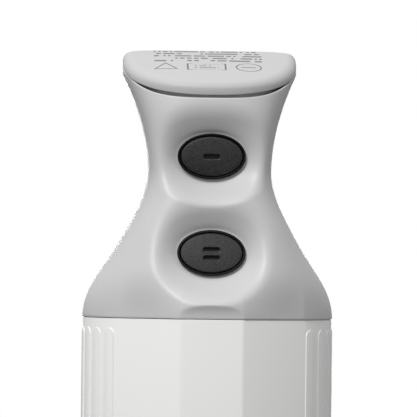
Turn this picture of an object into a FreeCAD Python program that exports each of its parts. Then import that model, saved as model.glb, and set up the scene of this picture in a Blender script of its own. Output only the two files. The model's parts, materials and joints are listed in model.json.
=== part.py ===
import FreeCAD, Part

import math
import os
import re

import Sketcher
from FreeCAD import Placement, Rotation, Vector

# A two-speed hand blender standing on its bell guard. Millimetres and degrees, +Z up, the speed
# buttons face -Y. The origin is the centre of the bell's rim. The motor unit lifts off the
# blending foot along +Z.

os.makedirs("parts", exist_ok=True)
doc = FreeCAD.newDocument("ImmersionBlender")

SIZES = {
    # blending foot
    "bell_radius": 31, "bell_wall": 2.2, "bell_height": 40, "bell_skirt": 15, "bell_curve": 30,
    "window_width": 15, "window_height": 13, "tube_radius": 12, "tube_wall": 2.4,
    "tube_length": 160, "neck_height": 40, "neck_foot_wall": 3, "neck_curve": 48, "neck_rim": 5,
    "spigot_radius": 21, "spigot_height": 9, "spigot_wall": 2.6, "groove_depth": 0.8,
    "bush_length": 12, "seal_height": 3,
    # blade drive
    "drive_radius": 3, "blade_height": 13, "blade_thickness": 1.2, "blade_span": 46,
    "blade_width": 9, "blade_tip": 9, "blade_tip_tilt": 18, "hub_radius": 5.5, "hub_height": 6,
    "nut_radius": 5, "nut_height": 4, "hex_radius": 4, "hex_height": 10,
    # motor housing
    "housing_apothem": 33, "housing_wall": 2.6, "housing_height": 104,
    "base_height": 14, "release_width": 16, "release_height": 9, "release_level": 16,
    "release_proud": 1.2, "release_depth": 8,
    # motor
    "motor_shaft_radius": 2.5, "motor_level": 26, "frame_radius": 26, "frame_thickness": 3,
    "bearing_radius": 7, "bearing_height": 5, "stator_radius": 22, "stator_bore": 14.5,
    "stator_height": 28, "coil_height": 5.5, "rotor_radius": 14, "commutator_radius": 7.5,
    "commutator_height": 10, "fan_radius": 18, "fan_height": 6, "coupling_radius": 8,
    # handle
    "handle_radius": 33.2, "handle_wall": 2.6, "waist_height": 39, "waist_width": 32.7,
    "waist_front": 22.5, "waist_back": 12, "cap_width": 45.9, "cap_front": 19.5, "cap_back": 9.7,
    "cap_corner": 4, "cap_level": 58.8, "cap_tilt": 17.5, "cap_thickness": 3.5, "flare_top": 64.5,
    "dish_depth": 4.5, "dish_reach": 9, "upper_button_level": 42.7, "lower_button_level": 17.3,
    "lower_dish_tilt": 17, "upper_dish_width": 27, "upper_dish_height": 23,
    "lower_dish_width": 29.5, "lower_dish_height": 24.5,
    # speed buttons
    "ring_width": 18, "ring_height": 12.1, "ring_wall": 0.55, "button_proud": 0.9,
    "button_depth": 4, "stem_radius": 2.2, "button_travel": 1.2, "board_plane": 2,
    "board_thickness": 1.6, "switch_depth": 6,
    # cord gland
    "gland_level": 55, "gland_radius": 6, "gland_bore": 3.6, "gland_length": 20,
    # clearances
    "running_clearance": 0.05, "loose_clearance": 0.35, "wire_radius": 0.7,
}

sheet = doc.addObject("Spreadsheet::Sheet", "Sizes")
for row, (alias, value) in enumerate(SIZES.items(), 1):
    sheet.set(f"A{row}", alias)
    sheet.set(f"B{row}", str(value))
    sheet.setAlias(f"B{row}", alias)
doc.recompute()


def linked(expression):
    """The expression with every size name pointing at the sheet."""
    return re.sub(r"[a-z_]+", lambda word: f"Sizes.{word[0]}" if word[0] in SIZES else word[0],
                  expression)


def size(expression):
    """What the expression is worth now."""
    return float(sheet.evalExpression(linked(expression)))


# Levels up the blender, each worked out from the sizes below it.
TUBE_TOP = "(bell_height + tube_length - loose_clearance * 7)"
FOOT_TOP = "(bell_height + tube_length)"
NECK_FOOT = f"({FOOT_TOP} - neck_height)"
JOINT = f"({FOOT_TOP} + housing_height)"
ROOF = "(bell_height - 4)"
FRAME_LEVEL = f"({FOOT_TOP} + motor_level)"
COIL_LEVEL = f"({FRAME_LEVEL} + bearing_height + 1.5)"
STATOR_LEVEL = f"({COIL_LEVEL} + coil_height)"
COMMUTATOR_LEVEL = f"({STATOR_LEVEL} + stator_height + coil_height + 2)"
UPPER_FRAME_LEVEL = f"({COMMUTATOR_LEVEL} + commutator_height + 3)"
HOUSING_BORE = "(housing_apothem - housing_wall)"
RELEASE_LEVEL = f"({FOOT_TOP} + release_level)"


def place(piece, x="0", y="0", z="0"):
    """Bind a piece's place to expressions."""
    for axis, expression in zip("xyz", (x, y, z)):
        piece.setExpression(f"Placement.Base.{axis}", linked(expression))
    return piece


def bound(kind, name, sizes, turn, x, y, z):
    """A Part primitive with bound sizes, turned by (axis, angle) and placed."""
    piece = doc.addObject(kind, name)
    for size_name, expression in sizes.items():
        piece.setExpression(size_name, linked(expression))
    if turn:
        piece.Placement = Placement(Vector(), Rotation(Vector(*turn[0]), turn[1]))
    return place(piece, x, y, z)


def rod(name, radius, height, x="0", y="0", z="0", turn=None):
    """A cylinder along Z unless turned."""
    return bound("Part::Cylinder", name, {"Radius": radius, "Height": height}, turn, x, y, z)


def block(name, length, width, height, x="0", y="0", z="0", turn=None):
    """A box centred on x and y, standing on z."""
    return bound("Part::Box", name, {"Length": length, "Width": width, "Height": height}, turn,
                 f"{x} - ({length}) / 2", f"{y} - ({width}) / 2", z)


def cut(name, base, *tools):
    """The base with every tool taken away."""
    result = doc.addObject("Part::Cut", name)
    result.Base = base
    result.Tool = tools[0] if len(tools) == 1 else fused(name + "_cutters", *tools)
    return result


def fused(name, *pieces):
    """Pieces that overlap, as one solid."""
    result = doc.addObject("Part::MultiFuse", name)
    result.Shapes = list(pieces)
    return result


def group(name, *pieces):
    """Like pieces that stay separate solids."""
    result = doc.addObject("Part::Compound", name)
    result.Links = list(pieces)
    return result


def ring(name, outer, inner, height, z, x="0", y="0"):
    """A flat ring or tube along Z."""
    return cut(name, rod(name + "_outside", outer, height, x, y, z),
               rod(name + "_bore", inner, height, x, y, z))


def origin_plane(body, role):
    """One of a body's own origin planes."""
    return next(plane for plane in body.Origin.OriginFeatures if plane.Role == role)


def new_sketch(body, name, role):
    """An empty sketch on one of the body's origin planes."""
    sketch = body.newObject("Sketcher::SketchObject", name)
    sketch.AttachmentSupport = [(origin_plane(body, role), "")]
    sketch.MapMode = "FlatFace"
    return sketch


def arc_between(start, end, radius):
    """An arc from start to end; a positive radius bulges to the right of the way along."""
    chord = end - start
    right = Vector(chord.y, -chord.x, 0).normalize()
    rise = abs(radius) - math.sqrt(radius * radius - chord.Length ** 2 / 4)
    return Part.Arc(start, (start + end) / 2 + right * math.copysign(rise, radius), end)


def bind_point(sketch, geometry, vertex, across, up):
    """Hold one sketch vertex at bound distances from the origin."""
    for kind, axis, expression in (("DistanceX", -2, across), ("DistanceY", -1, up)):
        if abs(size(expression)) < 1e-9:
            sketch.addConstraint(Sketcher.Constraint("PointOnObject", geometry, vertex, axis))
            continue
        constraint = sketch.addConstraint(
            Sketcher.Constraint(kind, -1, 1, geometry, vertex, size(expression)))
        sketch.setExpression(f"Constraints[{constraint}]", linked(expression))


def draw_outline(sketch, corners):
    """A closed outline. A corner is (across, up) or, where an arc leads to it, (.., radius)."""
    points = [Vector(size(corner[0]), size(corner[1]), 0) for corner in corners]
    ends = []
    for index, corner in enumerate(corners):
        start, end = points[index - 1], points[index]
        if len(corner) == 2:
            curve = sketch.addGeometry(Part.LineSegment(start, end))
        else:
            curve = sketch.addGeometry(arc_between(start, end, size(corner[2])))
        first = 1 if (sketch.getPoint(curve, 1) - start).Length < 1e-6 else 2
        ends.append((curve, first, 3 - first))
    for index, (curve, first, last) in enumerate(ends):
        before, _, before_last = ends[index - 1]
        sketch.addConstraint(Sketcher.Constraint("Coincident", before, before_last, curve, first))
        bind_point(sketch, curve, last, corners[index][0], corners[index][1])
        if len(corners[index]) == 3:
            radius = sketch.addConstraint(
                Sketcher.Constraint("Radius", curve, abs(size(corners[index][2]))))
            sketch.setExpression(f"Constraints[{radius}]", linked(f"abs({corners[index][2]})"))


def turned(name, corners):
    """A PartDesign body revolved about Z from corners given as (radius, level)."""
    body = doc.addObject("PartDesign::Body", name)
    sketch = new_sketch(body, name + "_profile", "XZ_Plane")
    draw_outline(sketch, corners)
    revolution = body.newObject("PartDesign::Revolution", name + "_turn")
    revolution.Profile = sketch
    revolution.ReferenceAxis = (sketch, ["V_Axis"])
    revolution.Angle = 360
    return body


def padded(name, corners, thickness, level):
    """A PartDesign body: a flat outline on XY, padded up from a level."""
    body = doc.addObject("PartDesign::Body", name)
    sketch = new_sketch(body, name + "_outline", "XY_Plane")
    draw_outline(sketch, corners)
    pad = body.newObject("PartDesign::Pad", name + "_pad")
    pad.Profile = sketch
    pad.setExpression("Length", linked(thickness))
    return place(body, z=level)


def prism(name, apothem, height, sides, z):
    """A regular prism with a flat facing -Y."""
    piece = doc.addObject("Part::Prism", name)
    piece.Polygon = sides
    piece.setExpression("Circumradius", linked(f"({apothem}) / cos(180 / {sides})"))
    piece.setExpression("Height", linked(height))
    piece.Placement = Placement(Vector(), Rotation(Vector(0, 0, 1), 180 / sides - 90))
    return place(piece, z=z)


def oval_rod(name, width, height, front, depth, z):
    """An oval prism along Y, from its front face at -front, going back by depth."""
    oval = bound("Part::Ellipse", name + "_oval",
                 {"MajorRadius": f"({width}) / 2", "MinorRadius": f"({height}) / 2"},
                 ((1, 0, 0), 90), "0", f"-({front})", z)
    extrusion = doc.addObject("Part::Extrusion", name)
    extrusion.Base = oval
    extrusion.DirMode = "Custom"
    extrusion.Dir = Vector(0, 1, 0)
    extrusion.setExpression("LengthFwd", linked(depth))
    extrusion.Solid = True
    return extrusion


nodes = {}


def keep(piece):
    """Label a finished sub-part; the label names its file."""
    nodes[piece.Name] = piece
    piece.Label = piece.Name
    return piece


# Blending foot: a hollow tube with a bell at the bottom and a flared neck at the top.

keep(ring("shaft_tube", "tube_radius", "tube_radius - tube_wall", f"{TUBE_TOP} - {ROOF}", ROOF))

bell_body = turned("bell_body", [
    ("bell_radius", "0"),
    ("bell_radius", "bell_skirt"),
    ("tube_radius + bell_wall", "bell_height", "bell_curve"),
    ("tube_radius + bell_wall", "bell_height + 7"),
    ("tube_radius", "bell_height + 7"),
    ("tube_radius", ROOF),
    ("drive_radius + 2", ROOF),
    ("drive_radius + 2", f"{ROOF} - seal_height"),
    ("tube_radius + bell_wall - 1", f"{ROOF} - seal_height"),
    ("bell_radius - bell_wall", "bell_skirt", "-(bell_curve - bell_wall)"),
    ("bell_radius - bell_wall", "0"),
])
window_span = "(bell_radius * 2 + 4)"
window_spring = "(window_height - window_width / 2)"
window_cutters = []
for direction, turn in (("across", ((0, 1, 0), 90)), ("along", ((1, 0, 0), -90))):
    sideways = direction == "across"
    window_cutters += [
        block(f"window_{direction}", window_span if sideways else "window_width",
              "window_width" if sideways else window_span, f"{window_spring} + 1", z="-1"),
        rod(f"window_arch_{direction}", "window_width / 2", window_span,
            f"-{window_span} / 2" if sideways else "0", "0" if sideways else f"-{window_span} / 2",
            window_spring, turn),
    ]
keep(cut("bell_guard", bell_body, *window_cutters))

keep(turned("shaft_neck", [
    ("tube_radius", NECK_FOOT),
    ("tube_radius + neck_foot_wall", NECK_FOOT),
    ("housing_apothem - loose_clearance", f"{FOOT_TOP} - neck_rim", "-neck_curve"),
    ("housing_apothem - loose_clearance", FOOT_TOP),
    ("spigot_radius", FOOT_TOP),
    ("spigot_radius", f"{FOOT_TOP} + spigot_height / 2 - wire_radius * 1.5"),
    ("spigot_radius - groove_depth", f"{FOOT_TOP} + spigot_height / 2 - wire_radius * 1.5"),
    ("spigot_radius - groove_depth", f"{FOOT_TOP} + spigot_height / 2 + wire_radius * 1.5"),
    ("spigot_radius", f"{FOOT_TOP} + spigot_height / 2 + wire_radius * 1.5"),
    ("spigot_radius", f"{FOOT_TOP} + spigot_height"),
    ("spigot_radius - spigot_wall", f"{FOOT_TOP} + spigot_height"),
    ("spigot_radius - spigot_wall", TUBE_TOP),
    ("tube_radius", TUBE_TOP),
]))

bush_radius = "(tube_radius - tube_wall)"
drive_bore = "(drive_radius + running_clearance)"
keep(ring("lower_shaft_bush", bush_radius, drive_bore, "bush_length", f"{ROOF} + 1"))
keep(ring("upper_shaft_bush", bush_radius, drive_bore, "bush_length",
          f"{TUBE_TOP} - bush_length - 3"))
keep(ring("shaft_seal", "drive_radius + 2", drive_bore, "seal_height", f"{ROOF} - seal_height"))

# Blade drive: the thin shaft with the blade below and the driven coupling above.

drive_start = "(blade_height - nut_height - 2)"
hex_start = f"({FOOT_TOP} - 1)"
keep(rod("drive_shaft", "drive_radius", f"{hex_start} + hex_height / 2 - {drive_start}",
         z=drive_start))
keep(ring("blade_hub", "hub_radius", "drive_radius", "hub_height",
          "blade_height + blade_thickness"))
keep(cut("blade_nut", prism("nut_hexagon", "nut_radius * cos(30)", "nut_height", 6,
                            "blade_height - nut_height"),
         rod("nut_bore", "drive_radius", "nut_height", z="blade_height - nut_height")))
keep(ring("thrust_washer", "drive_radius + 1.8", "drive_radius", "1.2",
          f"{ROOF} - seal_height - loose_clearance - 1.2"))
keep(ring("shaft_circlip", "drive_radius + 1.6", "drive_radius", "0.8",
          f"{TUBE_TOP} - 3 + loose_clearance"))

half_span = "(blade_span / 2 - blade_tip)"
blade_plate = padded("blade_plate", [
    (half_span, "-blade_width / 2"),
    (half_span, "blade_width / 2 - 2"),
    ("hub_radius", "blade_width / 2"),
    (f"-{half_span}", "blade_width / 2"),
    (f"-{half_span}", "-blade_width / 2 + 2"),
    ("-hub_radius", "-blade_width / 2"),
], "blade_thickness", "blade_height")
blade_wings = []
for name, start, edge, fall in (
        ("rising", f"{half_span} - 0.3", "-blade_width / 2", "0"),
        ("falling", f"-{half_span} + 0.3 - blade_tip * cos(blade_tip_tilt)",
         "-blade_width / 2 + 2", "blade_tip * sin(blade_tip_tilt)")):
    wing = bound("Part::Box", f"blade_wing_{name}",
                 {"Length": "blade_tip", "Width": "blade_width - 2", "Height": "blade_thickness"},
                 ((0, -1, 0), 1), start, edge, f"blade_height - {fall}")
    wing.setExpression("Placement.Rotation.Angle", linked("blade_tip_tilt"))
    blade_wings.append(wing)
keep(cut("blade", fused("blade_blank", blade_plate, *blade_wings),
         rod("blade_bore", "drive_radius", "blade_thickness * 3",
             z="blade_height - blade_thickness")))

coupling_blank = fused(
    "coupling_blank",
    rod("coupling_flange", "hex_radius + 3", f"{hex_start} - {TUBE_TOP} + 1.4",
        z=f"{TUBE_TOP} - 1.4"),
    prism("coupling_hexagon", "hex_radius * cos(30)", "hex_height", 6, hex_start))
keep(cut("driven_coupling", coupling_blank,
         rod("coupling_bore", "drive_radius", f"{hex_start} - {TUBE_TOP} + 1.4 + hex_height / 2",
             z=f"{TUBE_TOP} - 1.4")))

# Motor housing: a twelve-sided shell with a window for a release button in each side flat.

housing_blank = prism("housing_blank", "housing_apothem", "housing_height", 12, FOOT_TOP)
release_windows = []
for side in (-1, 1):
    side_name = "right" if side > 0 else "left"
    release_windows.append(block(
        f"release_window_{side_name}", "housing_wall * 6",
        "release_width + loose_clearance * 2", "release_height + loose_clearance * 2",
        f"{side} * housing_apothem", "0", f"{RELEASE_LEVEL} - loose_clearance"))
keep(cut("motor_housing", housing_blank,
         rod("housing_cavity", HOUSING_BORE, "housing_height", z=FOOT_TOP), *release_windows))

base_bore = "(spigot_radius + loose_clearance)"
coupling_bore = "(coupling_radius + 1.5)"
housing_base = turned("housing_base_disc", [
    (base_bore, FOOT_TOP),
    (HOUSING_BORE, FOOT_TOP),
    (HOUSING_BORE, f"{FOOT_TOP} + base_height"),
    (coupling_bore, f"{FOOT_TOP} + base_height"),
    (coupling_bore, f"{FOOT_TOP} + spigot_height + 1"),
    (base_bore, f"{FOOT_TOP} + spigot_height + 1"),
    (base_bore, f"{FOOT_TOP} + spigot_height / 2 + wire_radius * 1.3"),
    (f"{base_bore} + wire_radius * 1.6", f"{FOOT_TOP} + spigot_height / 2 + wire_radius * 1.3"),
    (f"{base_bore} + wire_radius * 1.6", f"{FOOT_TOP} + spigot_height / 2 - wire_radius * 1.3"),
    (base_bore, f"{FOOT_TOP} + spigot_height / 2 - wire_radius * 1.3"),
])
spring_seat = "(fan_radius + 1.5)"
seat_thickness = "1.6"
base_ears = [
    block(f"spring_seat_{name}", seat_thickness, "8",
          "release_level - base_height + release_height + 0.5",
          f"{side} * ({spring_seat} + {seat_thickness} / 2)", "0",
          f"{FOOT_TOP} + base_height - 0.5")
    for name, side in (("left", "-1"), ("right", "1"))]
keep(fused("housing_base", housing_base, *base_ears))

clip = bound("Part::Torus", "retaining_clip",
             {"Radius1": f"{base_bore} + wire_radius * 0.2", "Radius2": "wire_radius"},
             None, "0", "0", f"{FOOT_TOP} + spigot_height / 2")
clip.Angle3 = 300
keep(clip)

keep(group("base_screws", *[
    rod(f"base_screw_{index}", "1.5", "base_height - spigot_height - 2",
        f"(housing_apothem - 8) * cos({angle})", f"(housing_apothem - 8) * sin({angle})",
        f"{FOOT_TOP} + base_height")
    for index, angle in enumerate((60, 120, 240, 300), 1)]))

# Release buttons: one on each side flat, sprung outwards.

release_inner = "(housing_apothem + release_proud - release_depth)"
for name, side, sign in (("left", -1, "-1"), ("right", 1, "1")):
    keep(block(f"release_button_{name}", "release_depth", "release_width", "release_height",
               f"{sign} * ({release_inner} + release_depth / 2)", "0", RELEASE_LEVEL))
    spring_start = f"({spring_seat} + {seat_thickness})"
    tube = [rod(f"release_spring_{name}_{part}", radius, f"{release_inner} - {spring_start}",
                spring_start if side > 0 else f"-{release_inner}", "0",
                f"{RELEASE_LEVEL} + release_height / 2", ((0, 1, 0), 90))
            for part, radius in (("outside", "2.6"), ("inside", "2.0"))]
    keep(cut(f"release_spring_{name}", *tube))

# Motor: frames, bearings, field and brushes stay still; the rotor turns.

shaft_bore = "(motor_shaft_radius + running_clearance)"
for name, level in (("lower", FRAME_LEVEL), ("upper", UPPER_FRAME_LEVEL)):
    keep(ring(f"motor_frame_{name}", "frame_radius", "bearing_radius", "frame_thickness", level))
    keep(ring(f"{name}_bearing", "bearing_radius", shaft_bore, "bearing_height", level))
    keep(ring(f"{name}_mount_ring", HOUSING_BORE, "frame_radius", "frame_thickness", level))

keep(ring("stator_core", "stator_radius", "stator_bore", "stator_height", STATOR_LEVEL))
coil_top = f"({STATOR_LEVEL} + stator_height)"
keep(group("field_coils", *[
    ring(f"field_coil_{index}", "stator_radius - 1.5", "stator_bore + 1", "coil_height", level)
    for index, level in enumerate((COIL_LEVEL, coil_top), 1)]))
keep(group("motor_screws", *[
    rod(f"motor_screw_{index}", "1.4", f"{UPPER_FRAME_LEVEL} - {FRAME_LEVEL} - frame_thickness",
        f"{side} * (stator_radius + frame_radius - 0.4) / 2", "0",
        f"{FRAME_LEVEL} + frame_thickness")
    for index, side in ((1, "-1"), (2, "1"))]))

brush_level = f"({COMMUTATOR_LEVEL} + commutator_height / 2 - 2.5)"
brush_start = "(commutator_radius + loose_clearance)"
brush_parts = {"brush_holders": [], "carbon_brushes": [], "brush_springs": []}
for name, sign in (("front", "-1"), ("back", "1")):
    holder_middle = f"{sign} * ({brush_start} + 8.5)"
    brush_parts["brush_holders"].append(cut(
        f"brush_holder_{name}",
        block(f"brush_holder_{name}_outside", "7", "13", "8", "0", holder_middle,
              f"{brush_level} - 1.5"),
        block(f"brush_holder_{name}_slot", "4", "13", "5", "0", holder_middle, brush_level)))
    brush_parts["carbon_brushes"].append(
        block(f"carbon_brush_{name}", "4", "9", "5", "0", f"{sign} * ({brush_start} + 4.5)",
              brush_level))
    brush_parts["brush_springs"].append(
        rod(f"brush_spring_{name}", "1.8", "6", "0",
            f"{brush_start} + 9" if sign == "1" else f"-({brush_start} + 15)",
            f"{brush_level} + 2.5", ((1, 0, 0), -90)))
for name, pieces in brush_parts.items():
    keep(group(name, *pieces))

shaft_start = f"({FOOT_TOP} + hex_height + 2)"
keep(rod("motor_shaft", "motor_shaft_radius",
         f"{UPPER_FRAME_LEVEL} + bearing_height + 3 - {shaft_start}", z=shaft_start))
keep(ring("rotor_core", "rotor_radius", "motor_shaft_radius", "stator_height", STATOR_LEVEL))
keep(group("rotor_windings", *[
    ring(f"rotor_winding_{index}", "rotor_radius - 3", "motor_shaft_radius", "coil_height - 0.5",
         level)
    for index, level in enumerate((f"{COIL_LEVEL} + 0.5", coil_top), 1)]))
keep(ring("commutator", "commutator_radius", "motor_shaft_radius", "commutator_height",
          COMMUTATOR_LEVEL))

fan_level = f"({FRAME_LEVEL} - fan_height - 2)"
fan_disc = ring("fan_disc", "fan_radius", "motor_shaft_radius", "1.5", fan_level)
fan_blades = [
    bound("Part::Box", f"fan_blade_{index}",
          {"Length": "fan_radius - 7", "Width": "1.2", "Height": "fan_height - 0.5"},
          ((0, 0, 1), index * 40), f"6.5 * cos({index * 40})", f"6.5 * sin({index * 40})",
          f"{fan_level} + 0.5")
    for index in range(9)]
keep(fused("fan", fan_disc, *fan_blades))

cup_start = f"({FOOT_TOP} + 1)"
keep(cut("drive_coupling",
         rod("cup_outside", "coupling_radius", f"{fan_level} - {cup_start} - 0.4", z=cup_start),
         prism("cup_socket", "hex_radius * cos(30) + loose_clearance",
               f"{shaft_start} - {cup_start} - 1.5", 6, cup_start),
         rod("cup_bore", "motor_shaft_radius", "20", z=shaft_start)))

# Handle shell: a loft of superellipse sections, from round at the joint through a narrow waist
# to a D-shaped top with a nearly flat back.

SECTION_POINTS = 48


def eased(share):
    """0 to 1 with level ends."""
    share = min(max(share, 0), 1)
    return (1 - math.cos(math.pi * share)) / 2


def handle_outline(level):
    """Half width, front depth, back depth, back corner depth, front and back squareness."""
    flare = 1 - eased(level / size("waist_height"))
    climb = max(level - size("waist_height"), 0) / (size("flare_top") - size("waist_height"))
    climb = min(climb, 1) ** 1.85

    def between(joint, waist, cap):
        return waist + (joint - waist) * flare + (cap - waist) * climb

    radius = size("handle_radius")
    return (between(radius, size("waist_width / 2"), size("cap_width / 2")),
            between(radius, size("waist_front"), size("cap_front")),
            between(radius, size("waist_back"), size("cap_back")),
            between(radius, size("waist_back"), size("cap_corner")),
            between(2, 2.8, 2.3), between(2, 2.5, 2.4))


def handle_section(level, inset):
    """The closed curve round the handle at a level above the joint, moved in by inset."""
    half_width, front, back, corner, front_power, back_power = handle_outline(level)
    middle = back - corner
    points = []
    for index in range(SECTION_POINTS):
        angle = 2 * math.pi * index / SECTION_POINTS
        across, along = math.cos(angle), math.sin(angle)
        power = back_power if along > 0 else front_power
        depth = corner if along > 0 else front + middle
        points.append(Vector(
            math.copysign((half_width - inset) * abs(across) ** (2 / power), across),
            middle + math.copysign((depth - inset) * abs(along) ** (2 / power), along),
            size(JOINT) + level))
    curve = Part.BSplineCurve()
    curve.interpolate(Points=points, PeriodicFlag=True,
                      Parameters=[index / SECTION_POINTS for index in range(SECTION_POINTS + 1)])
    return Part.Wire(curve.toShape())


def handle_loft(name, inset, top):
    """A solid through the handle's sections."""
    levels = [top * step / 14 for step in range(15)]
    loft = doc.addObject("Part::Feature", name)
    loft.Shape = Part.makeLoft([handle_section(level, inset) for level in levels], True, False)
    return loft


handle_top = size("cap_level + (cap_front + cap_back) * tan(cap_tilt) + cap_thickness * 3")
handle_blank = handle_loft("handle_blank", 0, handle_top)
handle_cavity = handle_loft("handle_cavity", size("handle_wall"), handle_top)


def tilted_slab(name, lift, height):
    """A wide slab along the cap's tilted plane, lifted square to it."""
    slab = doc.addObject("Part::Box", name)
    slab.Placement = Placement(Vector(), Rotation(Vector(1, 0, 0), 1))
    for edge in ("Length", "Width"):
        slab.setExpression(edge, linked("cap_width * 2"))
    slab.setExpression("Height", linked(height))
    slab.setExpression("Placement.Rotation.Angle", linked("cap_tilt"))
    return place(slab, "-cap_width",
                 f"-cap_front - cap_width / 2 * cos(cap_tilt) - ({lift}) * sin(cap_tilt)",
                 f"{JOINT} + cap_level - cap_width / 2 * sin(cap_tilt) + ({lift}) * cos(cap_tilt)")


def front_at(level):
    """The handle's front depth at a level above the joint, as a plain number."""
    return handle_outline(size(level))[1]


def dish(name, level, width, height, grow, tilt):
    """The hollow round a button: an ellipsoid sunk in the front, grown for the wall behind."""
    spread = math.sqrt(1 - (1 - size("dish_depth / dish_reach")) ** 2)
    hollow = doc.addObject("Part::Ellipsoid", name)
    hollow.Angle1, hollow.Angle2, hollow.Angle3 = -90, 90, 360
    hollow.Placement = Placement(Vector(), Rotation(Vector(1, 0, 0), -size(tilt)))
    hollow.setExpression("Radius1", linked(f"{height} / 2 / {spread} + {grow}"))
    hollow.setExpression("Radius2", linked(f"{width} / 2 / {spread} + {grow}"))
    hollow.setExpression("Radius3", linked(f"dish_reach + {grow}"))
    lift = f"(dish_reach - dish_depth)"
    return place(hollow, "0", f"-({front_at(level)} + {lift} * cos({tilt}))",
                 f"{JOINT} + {level} + {lift} * sin({tilt})")


BUTTONS = (("1", "upper_button_level", "upper_dish_width", "upper_dish_height", "0"),
           ("2", "lower_button_level", "lower_dish_width", "lower_dish_height",
            "lower_dish_tilt"))
dishes, bosses, button_holes = [], [], []
for number, level, width, height, tilt in BUTTONS:
    dishes.append(dish(f"dish_{number}", level, width, height, "0", tilt))
    bosses.append(dish(f"dish_boss_{number}", level, width, height, "handle_wall", tilt))
    button_holes.append(oval_rod(f"button_hole_{number}", "ring_width", "ring_height",
                                 "handle_radius * 2", "handle_radius * 2", f"{JOINT} + {level}"))

gland_middle = f"({JOINT} + gland_level)"
above_seam = tilted_slab("above_seam", "0", "cap_width")
gland_hole = rod("gland_hole", "gland_radius", "gland_length", "0", "cap_back - handle_wall * 3",
                 gland_middle, ((1, 0, 0), -90))
cavity = cut("cavity", handle_cavity, *bosses)
keep(cut("handle_shell", handle_blank, above_seam, cavity, *dishes, *button_holes, gland_hole))

top_cap = doc.addObject("Part::MultiCommon", "top_cap")
top_cap.Shapes = [handle_blank, tilted_slab("cap_slab", "0", "cap_thickness")]
keep(top_cap)

gland = turned("cord_gland", [
    ("gland_bore", "0"),
    ("gland_radius + 1.5", "0"),
    ("gland_radius + 1.5", "2"),
    ("gland_radius", "2"),
    ("gland_radius", "6"),
    ("gland_radius - 1.2", "gland_length"),
    ("gland_bore", "gland_length"),
])
gland.Placement = Placement(Vector(), Rotation(Vector(1, 0, 0), -90))
keep(place(gland, y="cap_back - handle_wall - 1.5", z=gland_middle))

keep(ring("joint_ring", "handle_radius - handle_wall - 1.6", "handle_radius - handle_wall - 4",
          "12", f"{JOINT} - 8"))

# Speed buttons: each slides back through a black ring in its dish, on a stem that a guide holds
# and a spring returns, until the stem meets its micro switch.


def floor_at(level, tilt):
    """How far forward a dish's floor lies at its button's middle, as an expression."""
    return f"({front_at(level)} - dish_depth / cos({tilt}))"


def in_front(name, level, tilt, lift):
    """Everything in front of a dish's sloping floor, lifted off it."""
    reach = "handle_radius"
    block_ahead = doc.addObject("Part::Box", name)
    block_ahead.Placement = Placement(Vector(), Rotation(Vector(1, 0, 0), -size(tilt)))
    for edge in ("Length", "Width", "Height"):
        block_ahead.setExpression(edge, linked(f"{reach} * 2"))
    return place(
        block_ahead, f"-{reach}",
        f"-{floor_at(level, tilt)} - ({reach} * 2 + {lift}) * cos({tilt}) - {reach} * sin({tilt})",
        f"{JOINT} + {level} + ({reach} * 2 + {lift}) * sin({tilt}) - {reach} * cos({tilt})")


board_front = "(board_plane - board_thickness)"
switch_front = f"({board_front} - switch_depth)"
button_gap = "(ring_wall + loose_clearance)"
for number, level, width, height, tilt in BUTTONS:
    middle = f"{JOINT} + {level}"
    floor = floor_at(level, tilt)
    deepest = f"({floor} - button_depth)"
    slope = f"ring_height / 2 * tan({tilt})"
    bezel_front = f"({floor} + {slope} + 2)"
    keep(cut(f"button_bezel_{number}",
             oval_rod(f"bezel_outside_{number}", "ring_width", "ring_height", bezel_front,
                      f"{bezel_front} - {floor} + {slope} + handle_wall - 0.6", middle),
             oval_rod(f"bezel_inside_{number}", "ring_width - ring_wall * 2",
                      "ring_height - ring_wall * 2", bezel_front, "handle_radius * 2", middle),
             in_front(f"bezel_front_{number}", level, tilt, "0.3")))
    stem_back = f"(-{switch_front} + button_travel + 0.2)"
    button_blank = fused(
        f"button_blank_{number}",
        oval_rod(f"button_head_{number}", f"ring_width - {button_gap} * 2",
                 f"ring_height - {button_gap} * 2", f"({floor} + {slope} + 3)",
                 f"{slope} + 3 + button_depth", middle),
        rod(f"button_stem_{number}", "stem_radius", f"{deepest} + 1 - {stem_back}", "0",
            f"-{deepest} - 1", middle, ((1, 0, 0), -90)))
    keep(cut(f"speed_button_{number}", button_blank,
             in_front(f"button_front_{number}", level, tilt, "button_proud")))
    guide_front = f"({deepest} - 3.4)"
    guide_plate = block(f"guide_plate_{number}", "20", "1.5", "10", "0",
                        f"-{guide_front} + 0.75", f"{middle} - 5")
    cheeks = [
        block(f"guide_cheek_{side_name}_{number}", "1.4", f"{guide_front} + {board_front}", "6",
              f"{sign} * 9.3", f"({board_front} - {guide_front}) / 2", f"{middle} - 3")
        for side_name, sign in (("left", "-1"), ("right", "1"))]
    keep(cut(f"button_guide_{number}", fused(f"guide_blank_{number}", guide_plate, *cheeks),
             rod(f"guide_hole_{number}", "stem_radius + loose_clearance", "4", "0",
                 f"-{guide_front} - 1", middle, ((1, 0, 0), -90))))
    keep(cut(f"return_spring_{number}", *[
        rod(f"return_spring_{number}_{part}", radius, f"{deepest} - {guide_front}", "0",
            f"-{deepest}", middle, ((1, 0, 0), -90))
        for part, radius in (("outside", "stem_radius + 1.4"), ("inside", "stem_radius + 0.6"))]))
    keep(block(f"micro_switch_{number}", "10", "switch_depth", "6.4", "0",
               f"{board_front} - switch_depth / 2", f"{middle} - 3.2"))

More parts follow.
